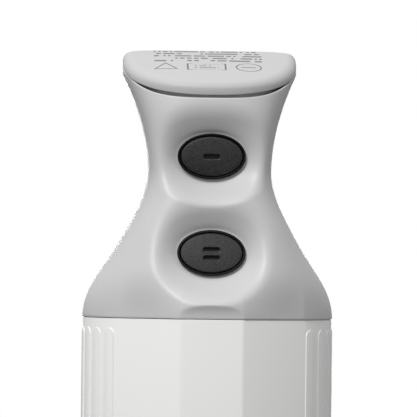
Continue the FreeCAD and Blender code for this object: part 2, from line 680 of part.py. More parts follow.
board_foot = "(lower_button_level - 9)"
board_height = "(upper_button_level - lower_button_level + 18)"
keep(block("switch_board", "22", "board_thickness", board_height, "0",
           "board_plane - board_thickness / 2", f"{JOINT} + {board_foot}"))
keep(block("switch_bracket", "16", "2.5", f"{board_height} + 3", "0", "board_plane + 1.25",
           f"{JOINT} + {board_foot} - 1.5"))
keep(block("terminal_block", "12", "3.6", "9", "0", "board_plane + 4.3",
           f"{JOINT} + waist_height - 5"))
keep(rod("capacitor", "5.5", "16", "0", "board_plane + 8.2", f"{JOINT} + {board_foot} - 2"))

doc.recompute()
for item in doc.Objects:
    if "Invalid" in item.State or "Error" in item.State:
        raise SystemExit(f"{item.Name} failed: {item.State}")
for name, piece in nodes.items():
    if piece.Shape.isNull() or not piece.Shape.isValid():
        raise SystemExit(f"{name} has no sound shape")
for name, piece in nodes.items():
    piece.Shape.exportStep(f"parts/{name}.step")
    box = piece.Shape.BoundBox
    print(f"{name:20s} {len(piece.Shape.Solids)} {piece.Shape.Volume:10.1f}"
          f"  x {box.XMin:7.2f} {box.XMax:7.2f}  y {box.YMin:7.2f} {box.YMax:7.2f}"
          f"  z {box.ZMin:7.2f} {box.ZMax:7.2f}")
print(len(nodes), "sub-parts")
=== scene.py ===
import json
import math

import bpy
import numpy as np
from mathutils import Euler, Matrix, Vector


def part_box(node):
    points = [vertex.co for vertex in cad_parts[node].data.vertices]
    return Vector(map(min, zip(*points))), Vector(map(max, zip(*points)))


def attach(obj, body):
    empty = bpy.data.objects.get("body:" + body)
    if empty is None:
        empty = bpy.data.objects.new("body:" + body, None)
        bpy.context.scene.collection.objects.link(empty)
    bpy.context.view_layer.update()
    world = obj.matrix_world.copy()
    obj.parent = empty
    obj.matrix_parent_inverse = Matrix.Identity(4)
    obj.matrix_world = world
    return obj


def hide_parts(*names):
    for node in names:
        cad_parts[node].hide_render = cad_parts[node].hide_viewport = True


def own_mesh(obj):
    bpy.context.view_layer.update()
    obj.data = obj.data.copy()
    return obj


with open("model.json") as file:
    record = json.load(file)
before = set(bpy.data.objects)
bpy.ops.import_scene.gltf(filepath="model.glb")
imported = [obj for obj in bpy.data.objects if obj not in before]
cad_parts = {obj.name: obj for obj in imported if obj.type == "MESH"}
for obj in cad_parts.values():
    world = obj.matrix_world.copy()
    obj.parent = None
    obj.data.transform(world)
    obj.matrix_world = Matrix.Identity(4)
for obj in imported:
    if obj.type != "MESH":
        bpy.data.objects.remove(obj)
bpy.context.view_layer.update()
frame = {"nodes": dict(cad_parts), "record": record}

MM = 0.001

# Handle. The grip is one grey satin moulding, round where it meets the motor housing, narrow at
# the waist and D-shaped under its cap, with a bowl pressed in round each speed button and a
# small finger scoop above the housing's front flat.

joint_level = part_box("handle_shell")[0].z / MM
housing_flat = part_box("motor_housing")[1].x / MM
handle_proud = 0.2
handle_half = housing_flat + handle_proud
cap_width = (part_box("top_cap")[1].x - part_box("top_cap")[0].x) / MM
cap_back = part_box("top_cap")[1].y / MM
cap_front, cap_corner, cap_tilt = 19.5, 4.0, math.radians(18.1)
seam_front, seam_side = 58.3, 65.2
waist_level, waist_half, waist_front, waist_back = 39.0, 16.2, 22.5, 12.0
flare_top, flare_power = 64.5, 1.85
shoulder_level, shoulder_spread = 16, 8
outline_height = 13
flat_end, flank_end = math.radians(14), math.radians(48)


def smooth(share):
    """0 to 1 with level ends, for a share clipped to 0 to 1."""
    share = np.clip(share, 0, 1)
    return share * share * (3 - 2 * share)


def soft_max(first, second, reach):
    """The greater of two surfaces, with the crease between them rounded."""
    near = np.maximum(reach - np.abs(first - second), 0) / reach
    return np.maximum(first, second) + near * near * reach / 4


def seam_height(depth):
    """Height of the cap's tilted seam above the joint, at a depth from front to back."""
    return seam_front + (depth + cap_front) * math.tan(cap_tilt)


def housing_radius(around):
    """The housing's outline, by angle from the front: a flat, a flank each side, then round."""
    off = np.abs(np.arctan2(np.sin(around), np.cos(around)))
    off = np.minimum(off, np.pi - off)
    corner = housing_flat / math.cos(flat_end)
    start = corner * np.array([math.sin(flat_end), math.cos(flat_end)])
    end = housing_flat * np.array([math.sin(flank_end), math.cos(flank_end)])
    facing = math.atan2(start[1] - end[1], end[0] - start[0])
    flank = (start[0] * math.sin(facing) + start[1] * math.cos(facing)) / np.cos(off - facing)
    return np.where(off < flat_end, housing_flat / np.cos(off),
                    np.where(off < flank_end, flank, housing_flat))


def ring_of_handle(turn, level):
    """Points of the bare grip at a level, before its bowls: turn runs round from the right."""
    flare = (1 + np.cos(np.pi * np.clip(level / waist_level, 0, 1))) / 2
    climb = np.clip((level - waist_level) / (flare_top - waist_level), 0, 1) ** flare_power

    def between(joint, waist, cap):
        return waist + (joint - waist) * flare + (cap - waist) * climb

    shoulder = np.exp(-((level - shoulder_level) / shoulder_spread) ** 2)
    half = between(handle_half, waist_half, cap_width / 2) - shoulder
    front = between(handle_half, waist_front, cap_front) - shoulder * 0.5
    back = between(handle_half, waist_back, cap_back) - shoulder
    corner = between(handle_half, waist_back, cap_corner) - shoulder
    across, along = np.cos(turn), np.sin(turn)
    power = np.where(along > 0, between(2.0, 2.6, 5.5), between(2.0, 4.3, 2.35))
    middle = back - corner
    depth = np.where(along > 0, corner, front + middle)
    x = half * np.sign(across) * np.abs(across) ** (2 / power)
    y = middle + depth * np.sign(along) * np.abs(along) ** (2 / power)
    base = 1 - smooth(level / outline_height)
    grow = 1 + base * ((housing_radius(np.arctan2(x, -y)) + handle_proud) / handle_half - 1)
    return x * grow, y * grow


bowls = {
    "upper": dict(level=42.7, slope=0.0, reach=(15.8, 12.3), roundness=(2.75, 2.05), depth=5.2),
    "lower": dict(level=17.3, slope=math.radians(17), reach=(15.2, 12.8), roundness=(2.55, 2.2),
                  depth=5.2),
}
ring_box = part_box("button_bezel_1")
ring_width = (ring_box[1].x - ring_box[0].x) / MM
ring_height = (ring_box[1].z - ring_box[0].z) / MM
bowl_margin, bowl_lip, bowl_foot, bowl_hollow = 0.15, 0.34, 0.1, (1.1, 0.2)
swell_depth, swell_level, swell_height = 1.1, 4, 7
scoop_clear, scoop_depth, scoop_height, scoop_lip = 0.05, 1.25, 3.9, 0.25


def bowl_floor(bowl):
    """How far forward a bowl's floor lies at its button's middle."""
    front = -ring_of_handle(np.array([-np.pi / 2]), np.array([bowl["level"]]))[1][0]
    return front - bowl["depth"] / math.cos(bowl["slope"])


def bowl_share(bowl, x, rise):
    """1 on a bowl's oval floor and 0 outside its rounded square, with a hollow wall between."""
    far = np.maximum(np.hypot(x, rise), 1e-6)
    across, up = np.abs(x) / far, np.abs(rise) / far
    inner = 1 / np.hypot(across / (ring_width / 2 + bowl_margin),
                         up / (ring_height / 2 + bowl_margin))
    roundness = np.where(rise > 0, *bowl["roundness"])
    outer = (across / bowl["reach"][0]) ** roundness
    outer = (outer + (up / bowl["reach"][1]) ** roundness) ** (-1 / roundness)
    climb = np.maximum((far - inner) / (outer - inner), 0)
    hollow = bowl_hollow[0] - bowl_hollow[1] * rise / far
    wall = soft_max(1 - climb ** hollow, 0, bowl_lip)
    return -soft_max(-wall, -1, bowl_foot)


def sunk(x, y, level):
    """The front surface with its two bowls and the scoop pressed in."""
    flat_half = housing_flat * math.tan(flat_end)
    swell = swell_depth * np.clip(1 - (x / flat_half) ** 2, 0, 1)
    swell = swell * (1 - smooth((level - swell_level) / swell_height))
    y = np.where(y < 0, y - swell, y)
    for bowl in bowls.values():
        rise = level - bowl["level"]
        floor = -bowl_floor(bowl) + math.tan(bowl["slope"]) * rise
        y = np.where(y < 0, y + (floor - y) * bowl_share(bowl, x, rise), y)
    scoop = -(housing_flat + scoop_clear) - scoop_depth * (level / scoop_height) ** 3
    return np.where(y < 0, soft_max(y, scoop, scoop_lip), y)


def deselect():
    """Leave nothing selected, so an operator acts on the new piece alone."""
    for item in bpy.context.selected_objects:
        item.select_set(False)


def wrapped(name, rows, columns, points):
    """A grid primitive wrapped into a closed skin; its first and last rows close to a point."""
    deselect()
    bpy.ops.mesh.primitive_grid_add(x_subdivisions=columns, y_subdivisions=rows - 1)
    piece = bpy.context.object
    piece.name = name
    piece.data.vertices.foreach_set("co", (points * MM).reshape(-1))
    bpy.ops.object.mode_set(mode="EDIT")
    bpy.ops.mesh.select_all(action="SELECT")
    bpy.ops.mesh.remove_doubles(threshold=1e-7)
    bpy.ops.mesh.normals_make_consistent(inside=False)
    bpy.ops.object.mode_set(mode="OBJECT")
    return piece


def modify(piece, kind, **settings):
    """Add a modifier and apply it."""
    deselect()
    piece.select_set(True)
    bpy.context.view_layer.objects.active = piece
    modifier = piece.modifiers.new(kind.title(), kind)
    for setting, value in settings.items():
        setattr(modifier, setting, value)
    bpy.ops.object.modifier_apply(modifier=modifier.name)
    return piece


def rounded_off(piece, degrees=35):
    """Shade smooth across every edge flatter than an angle."""
    deselect()
    piece.select_set(True)
    bpy.context.view_layer.objects.active = piece
    bpy.ops.object.shade_smooth_by_angle(angle=math.radians(degrees))
    return piece


def drop(*pieces):
    """Delete cutters once they have been used."""
    for piece in pieces:
        bpy.data.objects.remove(piece, do_unlink=True)


def carve(piece, cutter, operation="DIFFERENCE"):
    """Cut one solid with another, and delete the cutter."""
    modify(piece, "BOOLEAN", object=cutter, operation=operation, solver="EXACT")
    drop(cutter)
    return piece


def settle(piece):
    """Put the piece's place, turn and scale into its mesh."""
    deselect()
    piece.select_set(True)
    bpy.context.view_layer.objects.active = piece
    bpy.ops.object.transform_apply(location=True, rotation=True, scale=True)
    return piece


def oval_post(name, width, height, front, back, level, segments=96):
    """An oval post along Y, from its front to its back."""
    deselect()
    bpy.ops.mesh.primitive_cylinder_add(
        vertices=segments, radius=0.5, depth=(back - front) * MM,
        location=(0, (front + back) / 2 * MM, level * MM), rotation=(math.pi / 2, 0, 0),
        scale=(width * MM, height * MM, 1))
    post = bpy.context.object
    post.name = name
    return settle(post)


handle_columns, handle_rows, bottom_edge = 360, 176, 0.25
front_crowding, seam_passes = 0.38, 12
walk = np.linspace(0, 2 * np.pi, handle_columns + 1)
turn = walk - front_crowding * np.sin(walk) - np.pi / 2
rows = []
for part in np.linspace(0, 1, handle_rows):
    level = np.full_like(turn, part * seam_side)
    for _ in range(seam_passes):
        level = bottom_edge + part * (seam_height(ring_of_handle(turn, level)[1]) - bottom_edge)
    x, y = ring_of_handle(turn, level)
    rows.append(np.stack([x, sunk(x, y, level), joint_level + level], axis=-1))
skin = np.array(rows)
bottom, top = skin[0], skin[-1]


def drawn_in(ring, inward, up):
    """A copy of a ring moved towards its middle and up."""
    middle = ring[:-1].mean(axis=0)
    offset = ring - middle
    span = np.hypot(offset[:, 0], offset[:, 1])[:, None]
    moved = ring.copy()
    moved[:, :2] -= offset[:, :2] / span * inward
    moved[:, 2] += up
    return moved


def centred(ring, up=0.0):
    """A ring closed to its middle."""
    return np.repeat(ring[:-1].mean(axis=0)[None, :], len(ring), axis=0) + [0, 0, up]


skin = np.concatenate([
    [centred(bottom, -bottom_edge), drawn_in(bottom, 1.2, -bottom_edge),
     drawn_in(bottom, 0.25, -bottom_edge), drawn_in(bottom, 0.07, -bottom_edge * 0.7)],
    skin,
    [drawn_in(top, 0.05, 0.12), drawn_in(top, 0.16, 0.2), drawn_in(top, 0.32, 0.2),
     drawn_in(top, 0.45, 0.05), drawn_in(top, 0.55, -1.7), drawn_in(top, 3.4, -1.7),
     centred(top, -1.7)],
])
handle = wrapped("handle_grip", len(skin), handle_columns, skin)

for name, bowl in bowls.items():
    floor = bowl_floor(bowl)
    carve(handle, oval_post(f"{name}_well", ring_width, ring_height, -60, -floor + 6,
                            joint_level + bowl["level"]))
rounded_off(handle, 32)


class Value:
    """A shader value that takes plain arithmetic, adding a Math node for each step."""

    def __init__(self, finish, socket):
        self.finish, self.socket = finish, socket

    def step(self, operation, first, second=0.0):
        return self.finish.node("ShaderNodeMath", {"operation": operation},
                                {0: first, 1: second})

    def __add__(self, other):
        return self.step("ADD", self, other)

    def __sub__(self, other):
        return self.step("SUBTRACT", self, other)

    def __rsub__(self, other):
        return self.step("SUBTRACT", other, self)

    def __mul__(self, other):
        return self.step("MULTIPLY", self, other)

    def __truediv__(self, other):
        return self.step("DIVIDE", self, other)

    def __pow__(self, other):
        return self.step("POWER", self, other)

    __radd__, __rmul__ = __add__, __mul__

    def other(self, output):
        """Another output of the same node."""
        return Value(self.finish, self.socket.node.outputs[output])

    def over(self, level):
        """1 where the value is above a level, else 0."""
        return self.step("GREATER_THAN", self, level)

    def under(self, level):
        """1 where the value is below a level, else 0."""
        return self.step("LESS_THAN", self, level)

    def size(self):
        """The value without its sign."""
        return self.step("ABSOLUTE", self)

    def floor(self):
        """The whole number below the value."""
        return self.step("FLOOR", self)

    def greater(self, other):
        """The greater of two values."""
        return self.step("MAXIMUM", self, other)

    def least(self, other):
        """The lesser of two values."""
        return self.step("MINIMUM", self, other)


class Finish:
    """A material on the principled shader, and the one way that nodes are added to it."""

    def __init__(self, name, **constants):
        self.material = bpy.data.materials.new(name)
        self.material.use_nodes = True
        self.tree = self.material.node_tree
        self.shader = self.tree.nodes["Principled BSDF"]
        for socket, value in constants.items():
            self.shader.inputs[socket.replace("_", " ")].default_value = value

    def node(self, kind, settings=None, inputs=None, output=0):
        """Add a node: its settings first, then the values or links of its sockets."""
        node = self.tree.nodes.new(kind)
        for setting, value in (settings or {}).items():
            setattr(node, setting, value)
        for socket, value in (inputs or {}).items():
            self.give(node.inputs[socket], value)
        return Value(self, node.outputs[output])

    def give(self, socket, value):
        """Link a value to a socket, or set it."""
        if isinstance(value, Value):
            self.tree.links.new(value.socket, socket)
        else:
            socket.default_value = value

    def feed(self, **links):
        """Feed sockets of the shader."""
        for socket, value in links.items():
            self.give(self.shader.inputs[socket.replace("_", " ")], value)
        return self

    def shader_colour(self):
        """The colour that feeds the shader so far."""
        return Value(self, self.shader.inputs["Base Color"].links[0].from_socket)

    def place(self, centre=(0, 0, 0), turn=(0, 0, 0), scale=(1, 1, 1)):
        """The point on the piece, centred and turned for a pattern."""
        coordinates = self.node("ShaderNodeTexCoord", output="Object")
        return self.node("ShaderNodeMapping", {"vector_type": "TEXTURE"},
                         {"Vector": coordinates, "Location": centre, "Rotation": turn,
                          "Scale": scale})

    def noise(self, scale, detail=2.0, where=None, rough=0.5):
        """Soft noise from 0 to 1 with a scale per metre."""
        return self.node("ShaderNodeTexNoise", None,
                         {"Vector": where or self.place(), "Scale": scale, "Detail": detail,
                          "Roughness": rough})

    def blend(self, factor, first, second):
        """Two colours mixed by a value."""
        return self.node("ShaderNodeMix", {"data_type": "RGBA"},
                         {"Factor": factor, 6: first, 7: second}, output=2)

    def bumped(self, height, distance, strength=1.0):
        """A bump of a real height in metres, fed to the normal."""
        bump = self.node("ShaderNodeBump", None,
                         {"Strength": strength, "Distance": distance, "Height": height})
        return self.feed(Normal=bump)

    def wear(self, piece):
        """Give the piece this finish."""
        piece.data.materials.clear()
        piece.data.materials.append(self.material)
        return piece


def moulded(name, colour, rough, grain=2600.0, grain_depth=0.00002, drift=0.03):
    """Satin plastic: a fine moulded grain, and a faint drift of tone and gloss."""
    finish = Finish(name)
    slow = finish.noise(26.0, 3.0)
    fine = finish.noise(grain, 2.0)
    light = tuple(min(part * (1 + drift), 1) for part in colour) + (1,)
    dark = tuple(part * (1 - drift) for part in colour) + (1,)
    finish.feed(Base_Color=finish.blend(slow * 0.8 + fine * 0.2, dark, light),
                Roughness=slow * 0.06 + fine * 0.05 + (rough - 0.055))
    return finish.bumped(fine, grain_depth)


handle_plastic = moulded("handle_plastic", (0.585, 0.585, 0.59), 0.42)
handle_plastic.wear(handle)
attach(handle, "motor_unit")
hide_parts("handle_shell")

# Top cap. A lid of the same grey plastic, tilted forward, with a soft front edge and a slightly
# crowned top; its grey is painted darker than the grip's, as shade on its up-facing top. It is
# pressed on over the grip with a thin shadow gap, and its rating marks are printed: here plain
# dashes and outlines only.

cap_lowered, seam_gap, cap_crown = 0.35, 0.48, 0.4
cap_above_grip = (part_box("top_cap")[1].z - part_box("handle_shell")[1].z) / MM
cap_thickness = cap_above_grip / math.cos(cap_tilt) - cap_lowered
cap_round = 1.5 + 0.9 * np.cos(turn) ** 2


def cap_ring(inward, up):
    """The cap's outline on its own tilted plane, drawn in and lifted square to it."""
    across, along = np.cos(turn), np.sin(turn)
    power = np.where(along > 0, 5.5, 2.35)
    middle = cap_back - cap_corner
    depth = np.where(along > 0, cap_corner, cap_front + middle)
    x = (cap_width / 2 - inward) * np.sign(across) * np.abs(across) ** (2 / power)
    y = middle + (depth - inward) * np.sign(along) * np.abs(along) ** (2 / power)
    return np.stack([x, y, joint_level + seam_height(y) + up / math.cos(cap_tilt)], axis=-1)


cap_rows = [cap_ring(3.2, -1.6), cap_ring(3.0, seam_gap), cap_ring(0.2, seam_gap),
            cap_ring(0.05, seam_gap + 0.08), cap_ring(0.0, seam_gap + 0.25)]
for step in range(13):
    bend = step / 12 * math.pi / 2
    cap_rows.append(cap_ring(cap_round * (1 - math.cos(bend)) * 1.15,
                             cap_thickness - cap_round * (1 - math.sin(bend))))
edge_ring = cap_ring(cap_round * 1.15, cap_thickness)
edge_middle = edge_ring[:-1].mean(axis=0)
for step in range(1, 15):
    reach = 1 - step / 14
    crowned = edge_middle + (edge_ring - edge_middle) * reach
    crowned[:, 2] += cap_crown * (1 - reach ** 2)
    cap_rows.append(crowned)
cap_skin = np.array([centred(cap_rows[0])] + cap_rows)
cap = wrapped("cap", len(cap_skin), handle_columns, cap_skin)
rounded_off(cap, 40)

# Painted shade: the cap's grey is a darker copy of the grip's plastic, toned down for the light on
# its top.
cap_shaded_finish = moulded("cap_plastic_shaded", (0.53, 0.53, 0.535), 0.45)
cap_shaded_finish.shader.inputs["Specular IOR Level"].default_value = 0.2
row_pitch, dash_pitch, dash_half = 2.25, 0.62, 0.24
rows_front, rows_back, rows_half = 2.6, 8.0, 14.3
signs_front, line_half = 6.9, 0.2
ring_place, triangle_place, bracket_place = 10, 12, 1.2

across = cap_shaded_finish.node("ShaderNodeSeparateXYZ", None, {0: cap_shaded_finish.place(
    (0, 0, (joint_level + seam_height(0)) * MM + cap_thickness * MM), (cap_tilt, 0, 0),
    (MM, MM, MM))})
along = across.other("Y")
row_place = (along + rows_front) / row_pitch
row = row_place.floor()
dash = (across / dash_pitch).floor()
mark = cap_shaded_finish.node("ShaderNodeTexWhiteNoise", {"noise_dimensions": "2D"},
                       {"Vector": cap_shaded_finish.node("ShaderNodeCombineXYZ", None,
                                                  {"X": dash, "Y": row})})
word = cap_shaded_finish.node("ShaderNodeTexWhiteNoise", {"noise_dimensions": "2D"},
                       {"Vector": cap_shaded_finish.node("ShaderNodeCombineXYZ", None,
                                                  {"X": (dash / 5).floor(), "Y": row + 40})})
in_row = (row_place - row - 0.5).size().under(dash_half)
print_area = ((across + 0.6).size().under(rows_half) * (along + rows_front).over(0)
              * along.under(rows_back))
dashes = mark.over(0.3) * word.over(0.16) * in_row * print_area

sign_rise = along + signs_front
ring_mark = ((across - ring_place) ** 2 + sign_rise ** 2) ** 0.5
ring_mark = ((ring_mark - 3.3).size().under(line_half)
             + ring_mark.under(2.0) * sign_rise.size().under(0.28))
triangle = ((across + triangle_place).size() * 1.732 + sign_rise) / 2
triangle = (triangle.greater(sign_rise * -1) - 1.7).size().under(line_half)
bracket_off = (across + bracket_place).size()
bracket = bracket_off.greater(sign_rise.size() * 1.9)
bracket = (bracket - 5.0).size().under(dash_half) * bracket_off.over(3.6)
line_place = sign_rise / 1.5
bracket_lines = (line_place.floor() + 0.5 - line_place).size().under(0.17)
bracket_lines = (bracket_off.under(3.2) * bracket_lines * sign_rise.size().under(2.2)
                 * mark.over(0.25))
printed = dashes + ring_mark + triangle + (bracket + bracket_lines)
cap_shaded_finish.feed(Base_Color=cap_shaded_finish.blend(
    printed.least(1) * 0.75, cap_shaded_finish.shader_colour(), (0.06, 0.06, 0.065, 1)))
cap_shaded_finish.wear(cap)
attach(cap, "motor_unit")
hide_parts("top_cap")

# Button rings. A black rubber seal stands round each button, a push fit in the bowl's floor.


def lathe(name, outline, steps=96, axis="Z", centre=(0, 0, 0)):
    """Spin a closed outline of (radius, height) round its axis into a turned piece."""
    deselect()
    bpy.ops.mesh.primitive_circle_add(vertices=len(outline), radius=MM)
    piece = bpy.context.object
    piece.name = name
    for vertex, (radius, height) in zip(piece.data.vertices, outline):
        vertex.co = (radius * MM, 0, height * MM)
    bpy.ops.object.mode_set(mode="EDIT")
    bpy.ops.mesh.select_all(action="SELECT")
    bpy.ops.mesh.spin(steps=steps, angle=2 * math.pi, center=(0, 0, 0), axis=(0, 0, 1))
    bpy.ops.mesh.select_all(action="SELECT")
    bpy.ops.mesh.remove_doubles(threshold=1e-7)
    bpy.ops.mesh.normals_make_consistent(inside=False)
    bpy.ops.object.mode_set(mode="OBJECT")
    piece.rotation_euler = Euler((-math.pi / 2, 0, 0)) if axis == "Y" else Euler((0, 0, 0))
    piece.location = Vector(centre) * MM
    return rounded_off(settle(piece))


def filleted(corners, segments=6):
    """An outline of (radius, height, rounding) with every corner rounded by its own radius."""
    outline = []
    for index, (radius, height, rounding) in enumerate(corners):
        corner = Vector((radius, height))
        before = Vector(corners[index - 1][:2]) - corner
        after = Vector(corners[(index + 1) % len(corners)][:2]) - corner
        if rounding <= 0:
            outline.append(tuple(corner))
            continue
        half_angle = before.angle(after) / 2
        reach = min(rounding / math.tan(half_angle), before.length * 0.49, after.length * 0.49)
        start = corner + before.normalized() * reach
        end = corner + after.normalized() * reach
        for step in range(segments + 1):
            part = step / segments
            outline.append(tuple((1 - part) ** 2 * start + 2 * part * (1 - part) * corner
                                 + part ** 2 * end))
    return outline


ring_finish = Finish("seal_rubber_black", Specular_IOR_Level=0.15)
ring_finish.feed(Base_Color=ring_finish.blend(ring_finish.noise(900.0), (0.0035, 0.0035, 0.004, 1),
                                              (0.007, 0.007, 0.008, 1)),
                 Roughness=ring_finish.noise(300.0) * 0.1 + 0.42)
ring_wall, ring_proud, button_gap = 0.62, 1.2, 0.28
ring_steps = 120


def oval_stack(name, level, slope, floor, sections):
    """A closed oval piece along Y from sections of (half width, half height, forward, dome)."""
    round_turn = np.linspace(0, 2 * np.pi, ring_steps + 1)
    rings = []
    for half_width, half_height, forward in sections:
        x = half_width * np.cos(round_turn)
        z = half_height * np.sin(round_turn)
        rings.append(np.stack([x, -(floor + forward) + math.tan(slope) * z,
                               joint_level + level + z], axis=-1))
    return wrapped(name, len(rings), ring_steps, np.array(rings))


for number, (name, bowl) in enumerate(bowls.items(), 1):
    outer_x, outer_z = ring_width / 2, ring_height / 2
    profile = [(outer_x, outer_z, -3.0), (outer_x, outer_z, ring_proud - 0.22),
               (outer_x - 0.07, outer_z - 0.07, ring_proud - 0.06),
               (outer_x - 0.22, outer_z - 0.22, ring_proud),
               (outer_x - ring_wall + 0.12, outer_z - ring_wall + 0.12, ring_proud),
               (outer_x - ring_wall, outer_z - ring_wall, ring_proud - 0.12),
               (outer_x - ring_wall, outer_z - ring_wall, -3.0),
               (outer_x, outer_z, -3.0)]
    seal = oval_stack(f"button_ring_{name}", bowl["level"], bowl["slope"], bowl_floor(bowl),
                      profile)
    rounded_off(seal, 50)
    ring_finish.wear(seal)
    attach(seal, "motor_unit")
    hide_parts(f"button_bezel_{number}")

# Speed buttons. Each is a dark elastomer pad, faintly domed and grained, with its speed pressed
# in as one or two plain bars whose floors are painted near-black as shade; it slides straight back
# inside its ring.

button_proud, button_dome, bar_width, bar_height = 1.5, 0.35, 4.3, 1.2
bar_cuts = ((0.55, (1, 1, 1)), (0.22, (3.1, 1, 8.5)))
bar_rows = {"upper": (-0.1,), "lower": (1.05, -1.15)}

button_finish = Finish("button_elastomer", Specular_IOR_Level=0.36)
grain = button_finish.noise(3000.0, 1.5, rough=0.7)
patch = button_finish.noise(240.0, 2.0)
spot = button_finish.node("ShaderNodeSeparateXYZ", None, {0: button_finish.place(
    (0, 0, joint_level * MM), scale=(MM, MM, MM))})
spot_height = spot.other("Z")
beyond = (spot.size() - (bar_width - bar_height) / 2).greater(0)
# Painted shade: inside each pressed bar the colour is set near-black, as the shade in the recess.
painted_bar_shade = 0
for name, bowl in bowls.items():
    for rise in bar_rows[name]:
        off_bar = (beyond ** 2 + (spot_height - (bowl["level"] + rise)) ** 2) ** 0.5
        painted_bar_shade = painted_bar_shade + off_bar.under(bar_height / 2)
speckle = (grain - 0.5) * 2.2 + 0.36 + patch * 0.25
button_finish.feed(
    Base_Color=button_finish.blend(
        painted_bar_shade, button_finish.blend(speckle, (0.004, 0.004, 0.0045, 1),
                                     (0.042, 0.042, 0.043, 1)), (0.002, 0.002, 0.002, 1)),
    Roughness=grain * 0.2 + painted_bar_shade * 0.3 + 0.4)
button_finish.bumped(grain, 0.00012)


def select_edges(piece, wanted):
    """Select the edges whose two ends pass a test, ready for edit mode."""
    bpy.ops.object.mode_set(mode="EDIT")
    bpy.ops.mesh.select_mode(type="EDGE")
    bpy.ops.mesh.select_all(action="DESELECT")
    bpy.ops.object.mode_set(mode="OBJECT")
    for edge in piece.data.edges:
        first, second = (piece.data.vertices[index].co / MM for index in edge.vertices)
        edge.select = wanted(first, second)
    bpy.ops.object.mode_set(mode="EDIT")


for number, (name, bowl) in enumerate(bowls.items(), 1):
    half_x = ring_width / 2 - ring_wall - button_gap
    half_z = ring_height / 2 - ring_wall - button_gap
    floor = bowl_floor(bowl)
    sections = [(0, 0, -2.6), (half_x, half_z, -2.6), (half_x, half_z, button_proud - 0.4),
                (half_x - 0.05, half_z - 0.05, button_proud - 0.2),
                (half_x - 0.2, half_z - 0.2, button_proud - 0.06),
                (half_x - 0.42, half_z - 0.42, button_proud)]
    for step in range(1, 15):
        part = 1 - step / 14
        sections.append(((half_x - 0.42) * part, (half_z - 0.42) * part,
                         button_proud + button_dome * (1 - part ** 2)))
    button = oval_stack(f"speed_pad_{name}", bowl["level"], bowl["slope"], floor, sections)
    for rise in bar_rows[name]:
        for bar_depth, flare in bar_cuts:
            deselect()
            bpy.ops.mesh.primitive_cube_add(
                size=1, scale=(bar_width * MM, 3 * MM, bar_height * MM))
            bar = settle(bpy.context.object)
            select_edges(bar, lambda first, second: abs(first.y - second.y) > 1)
            bpy.ops.mesh.bevel(offset=bar_height * 0.49 * MM, segments=6, affect="EDGES")
            bpy.ops.object.mode_set(mode="OBJECT")
            select_edges(bar, lambda first, second: max(first.y, second.y) < 0)
            bpy.ops.transform.resize(value=flare)
            bpy.ops.object.mode_set(mode="OBJECT")
            forward = floor + button_proud + button_dome - bar_depth
            bar.rotation_euler = Euler((-bowl["slope"], 0, 0))
            bar.location = Vector((0, -forward - 1.5 + math.tan(bowl["slope"]) * rise,
                                   joint_level + bowl["level"] + rise)) * MM
            carve(button, settle(bar))
    rounded_off(button, 30)
    button_finish.wear(button)
    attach(button, f"{name}_speed_button")
    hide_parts(f"speed_button_{number}")

# Motor housing. A white satin moulding, open at both ends, with a flat and two flanks at its front
# and at its back. Each round side carries eight raised grip ribs, rounded at both ends, and a
# window for the release button.

housing_low, housing_high = (corner.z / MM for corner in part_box("motor_housing"))
housing_wall, window_gap = 2.6, 0.7
quarter = [0, flat_end, flank_end] + [math.radians(step) for step in range(51, 91, 3)]
bearings = quarter[1:] + [math.pi - step for step in reversed(quarter[1:-1])]
bearings += [math.pi + step for step in bearings]
deselect()
bpy.ops.mesh.primitive_circle_add(vertices=len(bearings), radius=housing_flat * MM,
                                  fill_type="NGON")
housing = bpy.context.object
housing.name = "housing_shell"
for vertex, bearing in zip(housing.data.vertices, bearings):
    reach = float(housing_radius(np.array(bearing)))
    vertex.co = Vector((reach * math.sin(bearing), -reach * math.cos(bearing), housing_low)) * MM
bpy.ops.object.mode_set(mode="EDIT")
bpy.ops.mesh.select_all(action="SELECT")
bpy.ops.mesh.extrude_region_move(
    TRANSFORM_OT_translate={"value": (0, 0, (housing_high - housing_low - 0.12) * MM)})
bpy.ops.mesh.select_all(action="SELECT")
bpy.ops.mesh.normals_make_consistent(inside=False)
bpy.ops.object.mode_set(mode="OBJECT")
select_edges(housing, lambda first, second: abs(first.z - second.z) > 1
             and math.hypot(first.x, first.y) > housing_flat + 0.5)
bpy.ops.mesh.bevel(offset=0.5 * MM, segments=4, affect="EDGES")
bpy.ops.object.mode_set(mode="OBJECT")
select_edges(housing, lambda first, second: abs(first.z - second.z) < 0.01)
bpy.ops.mesh.bevel(offset=0.25 * MM, segments=3, affect="EDGES")
bpy.ops.object.mode_set(mode="OBJECT")
for side in ("left", "right"):
    low, high = (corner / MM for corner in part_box(f"release_button_{side}"))
    deselect()
    bpy.ops.mesh.primitive_cube_add(
        size=1, location=(math.copysign(housing_flat, low.x) * MM, 0, (low.z + high.z) / 2 * MM),
        scale=(6 * MM, (high.y - low.y + window_gap) * MM, (high.z - low.z + window_gap) * MM))
    window = settle(bpy.context.object)
    select_edges(window, lambda first, second: abs(first.x - second.x) > 1)
    bpy.ops.mesh.bevel(offset=2.9 * MM, segments=6, affect="EDGES")
    bpy.ops.object.mode_set(mode="OBJECT")
    carve(housing, window)
deselect()
bpy.ops.mesh.primitive_cylinder_add(
    vertices=128, radius=(housing_flat - housing_wall) * MM,
    depth=(housing_high - housing_low + 2) * MM,
    location=(0, 0, (housing_high + housing_low) / 2 * MM))
carve(housing, settle(bpy.context.object))

